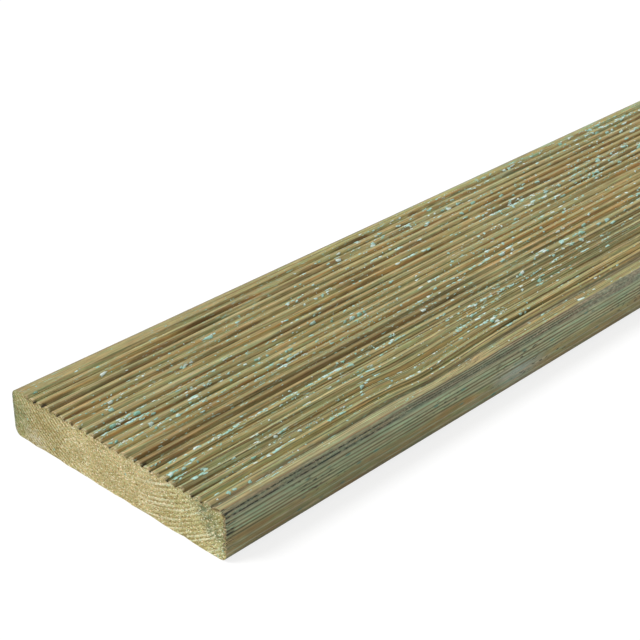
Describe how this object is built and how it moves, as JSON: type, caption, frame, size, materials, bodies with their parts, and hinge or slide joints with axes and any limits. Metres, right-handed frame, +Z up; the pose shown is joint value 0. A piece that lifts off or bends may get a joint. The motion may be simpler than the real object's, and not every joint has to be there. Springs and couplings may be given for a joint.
{
  "type": "decking board",
  "caption": "Flat softwood decking plank with a reeded walking face between two plain strips, rounded long edges and square-sawn ends.",
  "frame": {"origin": "middle of the underside, half way along the length and the width", "axes": "+X along the grain, +Y across the width, +Z up out of the reeded walking face"},
  "size_m": [1.8, 0.12, 0.021],
  "materials": {
    "treated_softwood": "moulded softwood, green-tinted by preservative, unsealed"
  },
  "bodies": {
    "root": {"decking_board": "treated_softwood"}
  },
  "joints": []
}
